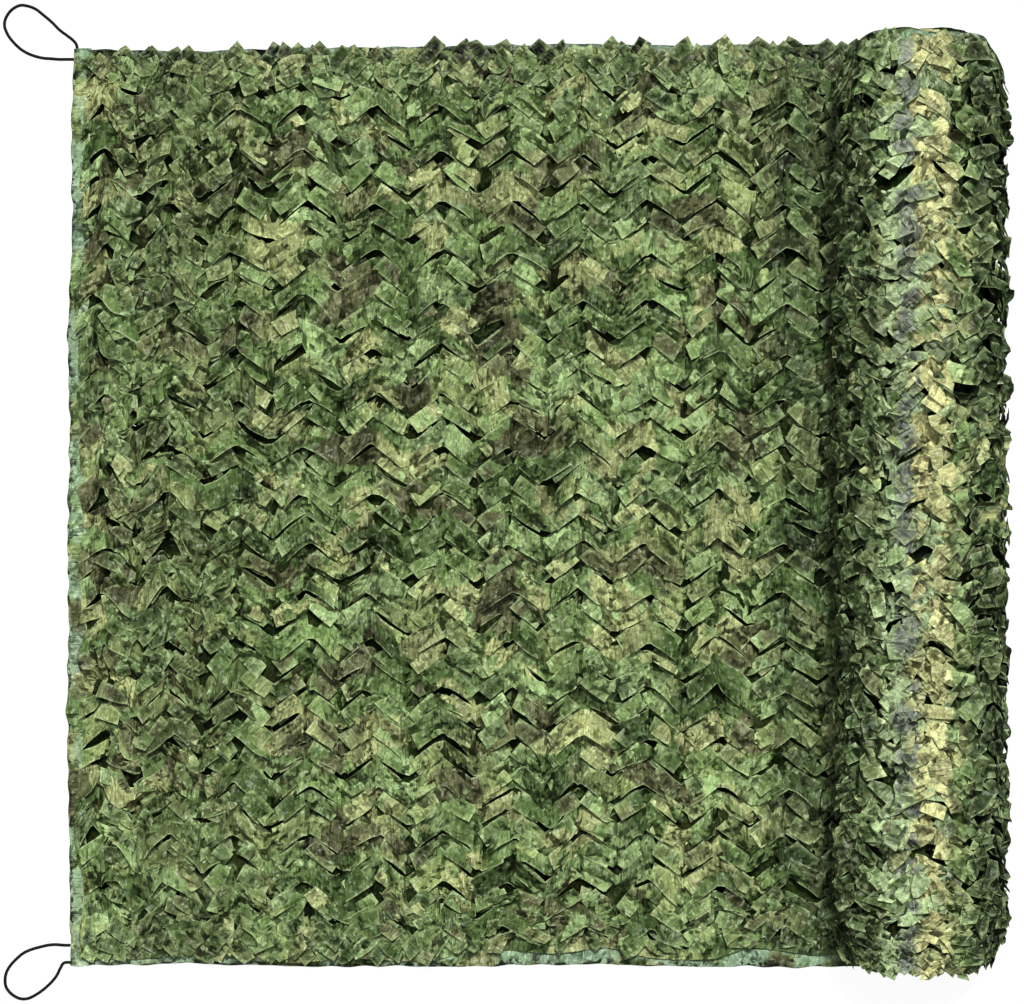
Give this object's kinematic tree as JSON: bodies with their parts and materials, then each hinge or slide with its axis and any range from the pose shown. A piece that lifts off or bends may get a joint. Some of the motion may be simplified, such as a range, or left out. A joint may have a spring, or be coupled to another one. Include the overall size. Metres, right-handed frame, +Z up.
{
  "type": "camouflage netting",
  "caption": "Die-cut camouflage netting, laid flat at one end and wound into a roll at the other, with taped edges and a cord loop at each laid corner",
  "frame": {"origin": "on the floor, under the middle of the netting's outline without the cord loops", "axes": "+X runs along the net from the laid end to the roll, +Y across it, and +Z up from the floor"},
  "size_m": [1.6217, 1.6273, 0.2488],
  "materials": {
    "camo_face": "matt printed polyester cloth in blotches of greens, tan and dark brown",
    "camo_back": "coated back of the same cloth, paler, with a slight sheen",
    "edge_tape": "matt plain-woven strip of the same cloth, uncut",
    "loop_cord": "black braided cord"
  },
  "bodies": {
    "root": {"net_panel": "camo_face", "net_roll": "camo_back", "end_tape": "edge_tape", "near_tape": "edge_tape", "far_tape": "edge_tape", "near_loop": "loop_cord", "far_loop": "loop_cord"}
  },
  "joints": []
}
